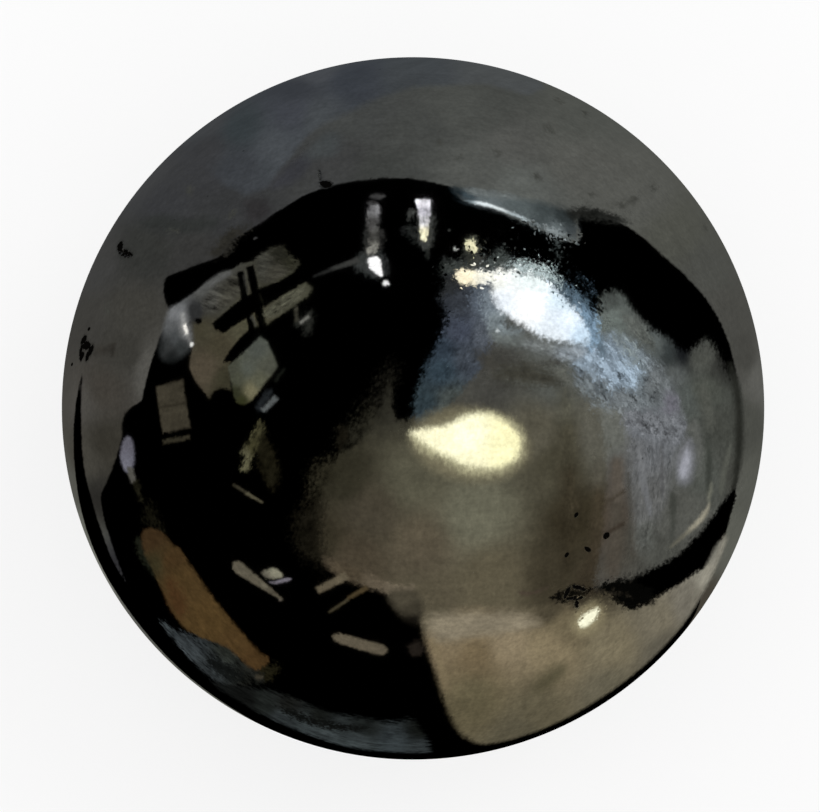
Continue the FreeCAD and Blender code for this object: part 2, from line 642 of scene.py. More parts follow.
# Each card: its outline; its shades, as one shade or as (across, up, shade) spots that blend into
# each other; the half width of its edge; how far its edge wanders; how strongly it is mottled; and
# its mottling's direction, length and width. A ROUND direction follows circles round the chart.
# Shades over 255 are brighter than white. A later card covers an earlier one, and a card's place
# in the list also sets how its mottling falls.
Card = namedtuple("Card", "shape shades soft ragged cloud grain",
                  defaults=(0.4, 0.0, 0.0, (0, 1.3, 1.3)))

ROUND = "round"
BLACK = (0, 0, 0)

# The chart ends at the point behind the ball. From the ball's outline as the lens sees it to
# there, the cards fade into one even grey.
FARTHEST = 179.9
OUT_OF_SIGHT = 131.0
FADED = 150.0
UNSEEN_GREY = (62, 63, 61)

# The grey sweep lies all round, outside this outline.
SWEEP_HOLE = runs(
    [(-82.5, 44.4), (-79, 45.4), (-65, 48.3), (-61, 50), (-58.5, 54), (-50, 58.8), (-40, 65),
     (-30, 70), (-15, 72.8), (0, 72.7), (12.6, 69.6)],
    [(13.6, 67), (16.5, 64.4), (25, 62.2), (38, 56.6), (48, 53.2), (52, 53), (54, 55.5), (53, 59),
     (54, 62.5), (57, 64.3), (70, 62.4), (80, 57.5), (90, 48.6), (100, 36.6), (106, 24.6),
     (109, 12), (110.3, -5), (108.8, -22), (104, -44), (97.6, -64)],
    [(96.5, -78), (84, -98), (50, -120), (0, -129), (-38, -122), (-60, -106), (-81, -89.5),
     (-99, -69), (-108.4, -56), (-113.6, -42), (-115.6, -28), (-115.9, -10), (-114, 6), (-112, 12)],
    [(-112.2, 5), (-111.5, -10), (-110.4, -20), (-107.6, -30), (-100.8, -49), (-95, -58)],
    [(-98.6, -48), (-102.6, -36), (-103.4, -29), (-100.4, -22), (-97.5, -11), (-97.5, -4),
     (-95.5, 0), (-90.5, 2.5)],
    [(-87, 14), (-83, 24), (-80.5, 28), (-80, 32.5)],
    [(-82, 35), (-84, 40), (-84, 43)],
)

SWEEP_SHADES = [
    (-10, 76, (62, 64, 62)), (-25, 80, (60, 61, 61)), (0, 92, (66, 68, 66)),
    (-18, 100, (66, 68, 67)), (20, 102, (72, 74, 71)), (20, 78, (80, 82, 79)),
    (35, 72, (88, 91, 88)), (34, 88, (80, 81, 78)), (30, 112, (70, 72, 69)),
    (58, 102, (77, 79, 75)), (56, 84, (85, 86, 82)), (78, 74, (83, 84, 80)),
    (90, 60, (77, 78, 72)), (102, 48, (74, 75, 71)), (108, 34, (72, 72, 68)),
    (114, 18, (68, 68, 64)), (121, 10, (90, 90, 86)), (114, -6, (72, 73, 68)),
    (116, -26, (84, 85, 79)), (108, -46, (90, 91, 84)), (98, -68, (68, 64, 56)),
    (-70, 86, (55, 56, 58)), (-117, -42, (100, 101, 94)),
    (-86, 72, (54, 55, 57)), (-62, 66, (52, 53, 54)), (-95, 82, (62, 63, 64)),
    (-68, 108, (62, 65, 67)), (-74, 52, (53, 53, 52)), (-92, 54, (50, 51, 49)),
    (-110, 50, (62, 62, 61)), (-94, 32, (60, 59, 55)), (-112, 28, (60, 59, 56)),
    (-97, 18, (56, 55, 51)), (-88, 13, (80, 79, 75)), (-104, 6, (62, 59, 54)),
    (-112, 2, (74, 72, 68)), (-102, -12, (52, 50, 44)), (-110, -16, (66, 64, 58)),
    (-105, -30, (42, 41, 38)), (-98, -52, (46, 46, 48)), (-119, -28, (84, 84, 78)),
    (-111, -57, (116, 117, 109)), (-70, -100, (92, 93, 86)),
]

SWEEP = Card(SWEEP_HOLE, SWEEP_SHADES, 0.4, 0.5, 0.07, (30, 6, 1.6))

# Over the sweep: cooler and darker folds of it.
RING = [
    Card(straight((-48, 73), (-36, 95), (-31, 99.5), (-12, 108.4), (0, 112.4), (25, 114), (41, 110),
        (48, 116), (44, 150), (-100, 112), (-66, 78), (-56, 71)), [(-48, 90, (70, 74, 78)),
        (-33, 101, (67, 71, 74)), (-60, 84, (58, 61, 65)), (-72, 90, (55, 56, 58)),
        (-60, 98, (53, 59, 62)), (-42, 104, (62, 65, 71)), (-75, 102, (62, 64, 66)),
        (-42, 113, (54, 57, 62)), (-22, 116, (56, 60, 66)), (-35, 122, (68, 71, 75)),
        (0, 118, (64, 68, 71)), (30, 118, (73, 76, 77))], 1.5, 0.9, 0.10, (35, 7, 1.6)),
    Card(curved((-47, 73), (-38, 85), (-33, 84), (-38, 74)), (54, 55, 59), 2.5, 1.5, 0.1),
    Card(curved((-36, 84), (-30, 94), (-25, 92), (-26, 84)), (66, 70, 71), 3.0, 1.5, 0.1),
    Card(curved((-92, 66), (-68, 64), (-66, 60), (-90, 61)), (46, 48, 47), 2.4, 3.0, 0.15,
        (0, 6, 2)),
    Card(curved((-56, 68), (-49, 68), (-46, 63), (-52, 60)), (45, 44, 45), 2.2, 2.5, 0.2),
    Card(curved((-66, 50), (-60, 58), (-53, 58), (-57, 54), (-60, 50)), (42, 41, 37), 1.6, 4.0, 0.4,
        (-40, 1.6, 0.9)),
]
RING += [
    Card(bar((-108, 19.2), (-101, 20), 2.6), (50, 48, 44), 1.6, 1.6, 0.3),
    Card(bar((-101.4, 17.4), (-101.2, 22), 0.9), (44, 42, 38), 0.8, 0.8, 0.2),
]
# The sweep's faint stains: across, up, how far the edge wanders, and tilt.
RING += [
    Card(ellipse((x, y), 1.2, 0.6, tilt), (60, 61, 57), 1.6, ragged, 0.3, (tilt, 2.0, 1.2))
    for x, y, ragged, tilt in (
        (9, 88, 1.8, 80), (15, 82, 2.7, 60), (28, 85, 2.4, 120), (41, 76, 3.0, 120),
        (47, 97, 3.0, 120), (52, 109, 4.2, 130), (61, 105, 3.6, 130), (60, 72, 3.6, 10),
        (72, 70, 3.6, 30), (84, 76, 4.2, 20), (76, 72, 2.4, 30), (103, 64, 3.6, 100),
        (-77, 75, 1.8, 80), (-83, 61, 3.6, 20), (-60, 64, 3.6, 60), (-104, 34, 3.0, 80),
    )
]

# The bright fold along the sweep's inner edge, top right, and its cool hollow.
FOLD = [
    Card(curved((12.6, 70), (20, 68.6), (51, 64.6), (53, 60), (51, 54), (44, 55), (38, 57),
        (28, 61.4), (15, 65)), [(14, 67, (26, 34, 38)), (17, 67, (58, 70, 76)),
        (23, 66.6, (96, 104, 106)), (34, 64, (82, 90, 91)), (42, 62, (64, 71, 72)),
        (48, 61, (46, 52, 53)), (51, 57, (62, 68, 70)), (52, 62, (26, 29, 28)),
        (46, 57, (92, 100, 102))], 1.8, 1.5, 0.12, (-20, 5, 1)),
    Card(curved((18, 69), (26, 68.6), (33, 66.6), (19, 67)), (104, 110, 110), 1.6, 1.6, 0.3,
        (-10, 2, 1)),
    Card(curved((16, 64.9), (20, 64.7), (25, 63.6), (35, 59.9), (40, 57.2), (30, 60.9), (25, 62.6),
        (19, 63.9)), [(17, 64.4, (120, 134, 140)), (22, 63.8, (236, 246, 250)),
        (27, 62.4, (228, 238, 240)), (32, 60.6, (172, 184, 188)), (38, 58, (128, 138, 140))], 0.55,
        0.3, 0.1),
    Card(curved((41, 57.4), (45, 56.8), (53, 53.6), (44, 54.8)), [(45, 56, (128, 136, 138)),
        (51, 54.2, (84, 90, 90))], 0.9, 0.5),
    Card(curved((50, 63), (56, 66.4), (64, 66), (74, 63), (56, 62)), (30, 31, 29), 1.6, 3.0, 0.5,
        (20, 1.8, 1.0)),
]

# The bright side: a ceiling of olive and brown, a grey wall beside it and a cream floor below.
SIDE = [
    Card(curved((62, 20), (64, -58), (20, -68), (3, -68), (-4, -56.6), (-24, -48), (-30, -41.5),
        (-29, -31), (-24.6, -20), (-22, -14), (-15.6, -10), (-13, -4), (-9.5, 0), (-8, 6),
        (-6.2, 8), (-5.8, 0), (-3.4, -4), (2, -1), (8, 1), (20, 30)), [(-7, 4, (44, 43, 36)),
        (-20, -20, (46, 44, 34)), (-28, -40, (50, 46, 35)), (-18, -46, (68, 61, 49)),
        (-12, -30, (67, 62, 51)), (2, -40, (84, 77, 63)), (0, -21, (82, 80, 66)),
        (18, -31, (103, 102, 86)), (24, -52, (90, 84, 67)), (36, -8, (84, 81, 69)),
        (24, 10, (66, 66, 62)), (42, 11, (84, 87, 83)), (42, -16, (72, 69, 56)),
        (50, -34, (51, 46, 34)), (45, -52, (58, 53, 41)), (57, -8, (88, 87, 78)),
        (58, -54, (54, 48, 37)), (5, -62, (84, 78, 63))], 0.7, 1.7, 0.16, (90, 2.0, 1.2)),
    Card(curved((57, 33), (63, 37), (67, 36), (70, 32), (76, 26), (84, 22.6), (90, 19), (94, 19),
        (99, 23), (102, 20), (106, 11), (110, 8), (111, -5), (109, -22), (103, -31), (86, -49),
        (76, -54), (66, -58), (59, -56), (60, -18), (57, -2), (53, 22)), [(62, 34, (74, 79, 76)),
        (63, 28, (104, 112, 108)), (72, 27, (84, 88, 85)), (78, 21, (86, 92, 91)),
        (84, 18, (52, 57, 57)), (90, 18.4, (24, 26, 28)), (86, 10, (88, 92, 91)),
        (98, 17, (74, 76, 71)), (104, 14, (48, 49, 46)), (98, 6, (73, 76, 70)),
        (91, 4, (82, 87, 84)), (104, -6, (66, 68, 63)), (96, -22, (80, 83, 78)),
        (107, -23, (66, 67, 62)), (60, -6, (102, 104, 98)), (71, -18, (86, 87, 86)),
        (79, -28, (98, 100, 99)), (89, -33, (82, 83, 78)), (71, -44, (71, 68, 61)),
        (80, -47, (76, 77, 72)), (62, -34, (74, 66, 57))], 1.5, 2.8, 0.24, (80, 1.7, 0.9)),
    Card(curved((99, -50), (103.5, -43), (105, -46), (98, -62), (91, -73.6), (80, -84.6), (67, -94),
        (52, -103), (37, -109), (25, -111), (19, -108), (13, -100), (6, -81), (3, -66), (6, -62),
        (20, -61.6), (42, -63), (58, -61), (90, -54)), [(5, -63, (90, 84, 68)),
        (34, -63.4, (94, 87, 70)), (43, -66, (72, 66, 52)), (57, -62, (56, 51, 40)),
        (11, -76, (120, 107, 84)), (20, -80, (108, 95, 72)), (31, -76, (136, 123, 99)),
        (44, -77, (130, 118, 93)), (49, -71, (104, 95, 74)), (64, -77, (118, 110, 89)),
        (80, -69, (114, 108, 92)), (91, -64, (112, 108, 97)), (100, -54, (140, 137, 125)),
        (84, -80, (94, 90, 78)), (20, -93, (94, 87, 66)), (40, -97, (92, 86, 68)),
        (64, -91, (99, 94, 78)), (34, -105, (86, 81, 65))], 1.7, 1.2, 0.22, (60, 2.2, 1.2)),
    # Its torn and smoky left edge.
    Card(curved((-6, 12), (-15, -3), (-20, -8), (-19, -13), (-28, -18), (-31, -28), (-35, -34),
        (-34, -43), (-27, -47), (-27, -40), (-26, -26), (-20, -14), (-10, -2)),
        [(-8, 7, (22, 21, 17)), (-16, -6, (34, 33, 26)), (-24, -20, (36, 34, 25)),
        (-30, -32, (22, 20, 14))], 3.0, 6.0, 0.8, (60, 1.6, 1.0)),
    Card(curved((-22, -8), (-20, -5), (-19, -8), (-21, -12)), (22, 20, 14), 1.2, 2.4, 0.5),
    # A lit strip along the lower edge of that side.
    Card(curved((-27, -46), (-22, -46), (-6, -53.4), (0, -53.6), (-2, -57), (-9, -56), (-17, -53.6),
        (-24, -50)), [(-18, -51, (70, 62, 49)), (-12, -52, (90, 81, 67)), (-5, -53, (104, 95, 80))],
        1.2, 1.6, 0.35, (-20, 1.6, 1.0)),
    Card(curved((-7, -56), (0, -55), (3, -60), (2, -67), (-2, -66), (-6, -61)),
        [(-3, -58, (72, 67, 55)), (0, -62, (58, 54, 44)), (0, -66, (20, 18, 14))], 1.8, 0.9, 0.08),
    Card(bar((6.4, -73), (10.6, -90), 1.6), (118, 106, 82), 1.4, 0.6),
    Card(curved((33, -57), (38, -57.4), (43, -56), (36, -58.6)), (68, 58, 50), 0.8, 0.8),
    # The wall's upright bands: pink, grey-lilac, brown, with thin dark lines between.
    Card(curved((60.6, -18), (64, -15), (66.6, -22), (67.6, -54), (62, -52), (61.6, -34)),
        [(65, -24, (84, 78, 70)), (64, -34, (72, 67, 59))], 2.2, 0.8, 0.2, (90, 4, 1)),
    Card(bar((67.6, -20), (69.8, -34), 0.9), (68, 67, 62), 1.0, 0.6, 0.2),
    Card(bar((69.6, -34), (71, -50), 0.7), (66, 65, 59), 1.0, 0.6, 0.2),
    Card(bar((60, -29.4), (67, -26), 1.0), (64, 58, 49), 0.9, 0.7),
    Card(bar((61, -39.6), (67.4, -36.8), 1.2), (54, 47, 39), 0.9, 0.7),
    Card(curved((57, -16), (59, -26), (59, -44), (57, -52), (55.4, -24)), [(57, -18, (84, 81, 71)),
        (57, -30, (66, 59, 46)), (57, -46, (58, 51, 40))], 2.4, 1.0, 0.3, (90, 2, 1)),
    Card(curved((44, 5), (47, 4), (49.6, -12), (50.6, -34), (49, -52), (46.4, -44), (43.4, -8)),
        [(45, 2, (78, 77, 66)), (47, -10, (66, 63, 51)), (48.6, -24, (56, 51, 39)),
        (49.6, -42, (48, 43, 32))], 4.0, 1.4, 0.5, (90, 2, 1)),
    Card(curved((86, -28), (88, -31), (84.6, -46), (85.4, -38)), (66, 68, 63), 0.8, 0.6),
    Card(curved((84, -46), (93, -39), (97, -34.6), (97.6, -31), (95, -35)),
        [(87, -43.6, (104, 102, 90)), (95, -36.4, (146, 142, 126))], 0.7, 0.4, 0.1),
    Card(curved((97.6, -31), (99, -26), (98, -24), (97, -29)), (108, 109, 98), 0.7, 0.5),
    Card(curved((98, -10), (99.4, -16), (98.6, -24), (96.8, -28)), (62, 65, 60), 0.7, 0.6),
    Card(curved((106, -12), (103, -18), (101.4, -26), (102.4, -28)), (84, 86, 79), 0.7, 0.5),
    Card(curved((90, -8), (95.6, -4), (96.6, -14), (95, -22), (94, -9)), (91, 93, 89), 1.0, 0.8,
        0.1),
    Card(curved((98, 8), (97, 0), (99, -8), (100.6, -2)), (80, 82, 76), 1.4, 1.0, 0.2),
    Card(curved((106.6, 15), (110, 8), (111.2, -4), (110.4, -16), (106.6, -28), (107.8, -2)),
        (38, 39, 35), 1.6, 1.0, 0.2),
    # The dark gap that runs in from the right below it, frayed at its left end.
    Card(curved((108.6, -28), (107, -33), (104.4, -40), (98, -51), (89, -56), (80, -61.4),
        (75, -62.6), (69, -59), (75, -55), (80, -51.6), (87, -48), (94, -41.6), (105, -28.6)),
        BLACK, 0.5, 2.0, 0.0, (30, 1.4, 1.2)),
    Card(curved((60, -58), (66, -57), (74, -57.4), (79, -61), (74, -64.6), (70, -66), (66, -62.6)),
        (5, 5, 4), 0.6, 3.4, 0.0, (0, 1.5, 1.3)),
    Card(capsule((60, -60), (70, -61), 0.5), (44, 40, 33), 0.6, 2.6, 0.4, (20, 1.8, 1.3)),
    Card(curved((44, -60.6), (48, -58), (54, -57.6), (58, -58.8), (55, -61.6), (50, -62.4)),
        (9, 8, 6), 0.7, 3.8, 0.0, (0, 1.6, 1.4)),
    Card(curved((102.6, -45), (99.6, -54), (93, -64), (96, -55), (100, -47)),
        [(97, -56, (150, 146, 133)), (101, -48, (126, 124, 114)), (94, -63, (120, 117, 105))], 1.6,
        0.6, 0.1),
    Card(ellipse((44, -86.6), 6.5, 2.4, 38), (80, 75, 57), 2.6, 0.8, 0.1),
    Card(curved((5, -64.6), (16, -63.8), (28, -64.4), (38, -67), (41, -69.6), (34, -71.6),
        (20, -72.4), (8, -74)), (132, 123, 104), 2.8, 1.6, 0.25, (-8, 5, 2)),
]

# The pale column below the window: smeared light, streaked along its slope.
COLUMN = [
    Card(curved((66, 2), (84, 4), (90, -6), (86, -20), (79, -45), (73, -45), (71, -30), (70, -18)),
        [(72, -6, (108, 112, 117)), (76, -32, (94, 95, 94)), (70, -12, (98, 100, 102)),
        (78, -42, (86, 88, 84))], 2.6, 2.5, 0.6, (86, 2.2, 0.7)),
    Card(curved((49.4, 18), (57, 20.6), (61.5, 23.2), (72, 19.6), (80, 13.6), (86, 5), (82, 0),
        (64.4, -0.7), (54, 2.6), (48.6, 11.4)), [(50, 17, (140, 156, 170)),
        (60, 15, (124, 138, 150)), (70, 11, (108, 118, 124)), (55, 7, (100, 107, 110)),
        (78, 8, (100, 105, 107)), (66, 2, (106, 112, 115))], 2.2, 3.0, 1.1, (-44, 3.2, 0.9)),
    Card(curved((52, 20), (64, 18), (71, 14), (71, 9), (65, 6), (58, 8), (53, 13)), (146, 163, 178),
        2.0, 4.6, 1.3, (-44, 3.4, 0.9)),
    Card(curved((62, 22), (68, 21), (72, 13), (66, 17)), (118, 128, 130), 2.0, 4.0, 0.9,
        (-44, 3.0, 0.8)),
    Card(curved((66, 30), (72, 27), (78, 21), (76, 19)), (88, 92, 88), 1.4, 4.0, 0.8,
        (-40, 1.6, 0.6)),
    Card(curved((55, 21), (58, 22), (60, 18), (58, 15)), (96, 112, 124), 1.4, 2.0, 0.4,
        (-50, 2, 0.8)),
    Card(curved((82, 5), (87, 4), (87, -1), (82, -2)), (108, 108, 116), 1.8, 2.0, 0.6,
        (-60, 1.2, 0.8)),
    Card(curved((68, -1), (89, -3), (91, -8), (86, -12), (68, -6)), (104, 107, 111), 1.4, 3.4, 1.2,
        (-30, 1.0, 0.6)),
    Card(curved((92.4, -10), (88.4, -14), (87, -19), (89, -25), (92, -24.4), (94, -18), (94, -12)),
        (114, 116, 120), 1.6, 0.8, 0.1),
    Card(curved((91.8, -13.6), (89.2, -20), (90, -23), (91.6, -22), (92.8, -17)), (158, 160, 169),
        1.3, 0.5),
    Card(curved((71, -10), (78, -34), (75, -30), (72, -20)), (108, 110, 112), 0.9, 1.2, 0.2,
        (88, 4, 1)),
    Card(curved((80, -12), (82, -20), (82.6, -30), (81, -24)), (84, 85, 86), 0.9, 1.0, 0.2),
]

# The blue haze between lens and window.
HAZE = [
    Card(curved((0.8, -3), (1, 4), (3.6, 12), (7, 18), (9.6, 25), (10, 29), (8, 32), (9.5, 36),
        (9, 40), (13, 43), (24, 42), (22, 16), (6, -3)), [(3, 2, (44, 55, 60)),
        (11, 2, (63, 69, 67)), (8, 11, (48, 61, 70)), (8, 17, (46, 56, 66)), (16, 14, (60, 66, 74)),
        (14, 23, (62, 68, 80)), (21, 22, (82, 88, 96)), (14, 31, (50, 54, 60)),
        (20, 31, (80, 88, 98)), (11, 37, (40, 42, 43))], 0.9, 2.8, 0.65, (55, 1.3, 0.7)),
    Card(curved((21, 35), (25, 34), (27, 28), (27, 24), (32, 22.6), (25, 20), (22, 24), (20, 30)),
        [(22, 31, (112, 122, 130)), (25, 25, (120, 130, 134))], 1.6, 3.2, 0.6, (50, 1.3, 0.8)),
    Card(curved((24, 22.6), (42, 19), (52, 18), (50, 15), (42, 15.6), (32, 18), (25, 19.6)),
        [(28, 20, (104, 110, 108)), (38, 18, (116, 121, 121)), (48, 17, (140, 149, 156))], 2.2, 1.8,
        0.6, (-20, 1.8, 0.8)),
    Card(curved((18, 17), (26, 14), (34, 13), (44, 14), (30, 10), (22, 12)), (62, 61, 56), 2.0, 3.0,
        0.35, (-20, 1.8, 1.0)),
    Card(curved((26, 11), (44, 12), (46, 8), (30, 8)), (88, 90, 84), 1.6, 3.6, 0.5,
        (-25, 1.5, 0.8)),
    Card(curved((24, 10), (30, 13), (40, 11), (44, 7), (34, 7), (26, 8)), (58, 57, 50), 2.4, 4.4,
        0.5, (-10, 1.2, 0.8)),
]

# The tall window with its warm corner, flecked along its outer side.
WINDOW = [
    Card(curved((40, 42), (46, 41), (52, 40), (56, 36), (57, 28), (57, 21), (54, 19), (52, 26),
        (43, 36)), [(43, 40, (78, 90, 94)), (50, 36, (72, 88, 100)), (54, 33, (66, 82, 94)),
        (53, 29, (112, 136, 156)), (55, 25, (118, 142, 162))], 0.8, 5.0, 1.1, (-55, 1.1, 0.6)),
    Card(curved((44, 43), (50, 42.4), (56, 37.6), (58.6, 31), (56.4, 29.6), (52, 35), (46, 39)),
        BLACK, 0.6, 5.0, 0.0, (-55, 1.6, 0.9)),
    Card(curved((22, 42), (24, 46), (27, 48.4), (29, 45), (29, 42)), (70, 76, 74), 1.2, 3.0, 0.6,
        (70, 1.3, 0.8)),
    Card(curved((29, 41.6), (32, 43.6), (37, 44), (41, 42.6), (44, 39.6), (40, 39.6), (34, 41)),
        (170, 185, 186), 0.3, 7.0, 0.8, (60, 0.9, 0.42)),
    Card(curved((9, 43), (13, 44), (23, 43), (10, 40)), (56, 60, 58), 1.2, 2.8, 0.6,
        (20, 1.6, 0.9)),
    Card(curved((19, 41), (23.6, 40.8), (28.6, 41.7), (33.8, 41), (39.9, 38.6), (44.3, 35.3),
        (47.8, 32), (51.3, 27.8), (53.4, 23.6), (52.6, 20.4), (48, 19.9), (41.8, 20.9),
        (35.7, 22.8), (30.6, 26.3), (26.6, 29.2), (24.2, 33), (23.2, 36.6), (19, 38.4)),
        [(34, 31, (274, 276, 276)), (46, 27, (242, 254, 266)), (52, 22, (208, 230, 248)),
        (24, 39.6, (262, 264, 256)), (36, 39.6, (240, 252, 252)), (42, 21.4, (234, 244, 252)),
        (27, 31, (250, 258, 266)), (46, 32.6, (214, 232, 244))], 1.3, 2.4, 0.05, (55, 1.8, 0.9)),
    Card(curved((13.4, 40.9), (13.4, 37.6), (17.1, 36.9), (21.6, 37.9), (23.6, 39.8), (18.7, 41.2)),
        [(15, 39, (255, 244, 212)), (22, 39.4, (252, 250, 234))], 0.8, 0.8, 0.05),
    Card(curved((45, 54), (46, 50), (45.4, 46), (44.6, 50)), (58, 64, 64), 0.8, 1.6, 0.5),
    Card(ellipse((24.8, 22.8), 0.5, 0.5), (206, 214, 216), 0.3),
]

# The round warm lamp, pointed on one side, and the small one by the cream floor.
LAMPS = [
    Card(ellipse((17, -10.6), 17.6, 10.6, -8), (112, 107, 86), 2.4, 1.0),
    Card(curved((0, -8), (10, -4.8), (18.7, -1.2), (28, -3.4), (32.4, -9), (31.4, -15.4),
        (25, -18.8), (17, -18.8), (9, -15), (3, -11.6)), (180, 176, 142), 2.2, 2.2, 0.1,
        (90, 2.2, 0.8)),
    Card(curved((-0.4, -7), (3.6, -5.9), (10, -5), (14, -2.8), (18.7, -1.4), (22.4, -1.9),
        (26.4, -3.6), (29.6, -6.4), (31.2, -9.2), (30.8, -12.8), (28.4, -15.8), (24.3, -17.2),
        (18.8, -17.2), (15, -16), (5.8, -11.6), (1.6, -8.8)), [(16, -9, (270, 268, 230)),
        (4, -8, (262, 258, 218)), (26, -13, (262, 258, 206)), (29, -8, (262, 257, 204)),
        (18, -15, (260, 256, 214))], 1.4, 1.5, 0.0, (90, 2.2, 0.8)),
    Card(ellipse((57.4, -68.6), 5.6, 3.4, 42), (144, 135, 106), 2.8, 0.6),
    Card(curved((54.2, -70.4), (56, -68), (60.5, -65.5), (60.5, -66.8), (59.2, -68.8),
        (56.8, -70.8), (55, -71.4)), (255, 254, 224), 0.7, 0.2),
]

# Small plain lights, bars and panels on the dark side.
DARK_SIDE = [
    Card(bar((-29.6, -56.4), (-20, -50.8), 2.3), (94, 86, 70), 0.5, 0.5, 0.1),
    Card(bar((-20.4, -58.8), (-14, -54.6), 0.8, 1.8), (66, 56, 38), 0.5, 0.5),
    Card(bar((-26.4, -64), (-20, -59), 0.6, 1.0), (62, 57, 43), 0.4, 0.4, 0.3, (40, 1, 1)),
    Card(capsule((-23.6, -73.6), (-10.4, -77.6), 4.0, 4.2), (90, 83, 69), 0.6, 0.7, 0.14),
    Card(curved((-1.6, -76), (2, -73.6), (3.6, -78), (0, -80)), (30, 26, 22), 1.2, 1.6, 0.3),
    Card(capsule((-55.4, -50.8), (-45.6, -57.6), 4.6, 2.0), (91, 86, 73), 0.6, 0.5, 0.1),
    Card(capsule((-45.6, -57.6), (-41.8, -60.4), 1.8, 0.9), (84, 79, 67), 0.5, 0.4, 0.2),
    Card(ellipse((-47.2, -56.2), 1.1, 0.8, -30), (106, 101, 87), 0.6, 0.2),
    Card(ellipse((-42.2, -60.8), 0.6, 0.4, 0), (88, 82, 74), 0.4, 0.1),
    Card(curved((-47.6, -52), (-45, -50.2), (-42.6, -49.9), (-40.8, -51.4), (-41, -52.8),
        (-45, -53.4)), [(-43.6, -51, (132, 130, 112)), (-46, -52.4, (104, 100, 88))], 0.6, 0.4,
        0.1),
    Card(curved((-45.6, -54.6), (-43, -54.2), (-39.6, -52.8), (-37.8, -53.2), (-43.4, -55.2)),
        (112, 108, 116), 0.4, 0.2),
    Card(bar((-55.2, -23.4), (-50, -26.2), 0.5, 1.1), (58, 55, 44), 0.5, 0.5),
    Card(bar((-51, -25.8), (-45.6, -28.6), 1.1, 0.5), (84, 80, 64), 0.4, 0.3),
    Card(curved((-46.2, -3.4), (-44.8, -6), (-45.4, -10), (-48, -14), (-50, -18.6), (-52.4, -18.6),
        (-50.6, -14.6), (-51.8, -13), (-49, -9.6)), [(-51, -14, (84, 82, 62)),
        (-48, -12, (56, 54, 36))], 0.5, 2.2, 0.8, (62, 1.8, 0.6)),
    Card(curved((-45, -7), (-40, -18), (-42, -24), (-45, -20), (-47, -14)), (26, 24, 15), 1.0, 3.6,
        0.9, (60, 2.0, 0.7)),
    Card(curved((-47, 0.5), (-44, 5), (-42, 5), (-45.4, -0.6)), (30, 33, 35), 0.8, 0.8, 0.3),
    Card(bar((-44.8, -0.8), (-40.6, 3.4), 1.4, 1.6), (82, 86, 86), 0.6, 0.5, 0.2),
    Card(bar((-41, 8), (-38, 12), 0.8), (24, 26, 22), 0.5, 0.6, 0.4),
    Card(ellipse((-50, 54), 0.5, 0.4), (60, 60, 60), 0.3),
    Card(curved((-96, -9.6), (-94.6, -10), (-93.6, -14), (-93.4, -19), (-95, -21.4), (-97, -18),
        (-97.4, -13)), [(-95.6, -12, (92, 91, 100)), (-95.4, -18, (104, 104, 114))], 0.6, 0.4,
        0.08),
    Card(curved((-95, -20), (-93.6, -20), (-92.4, -24), (-93.6, -24.6)), (78, 77, 72), 0.5, 0.6,
        0.2),
    Card(bar((-92.4, -24), (-90, -31), 0.9), (30, 29, 20), 0.8, 1.6, 0.5),
]

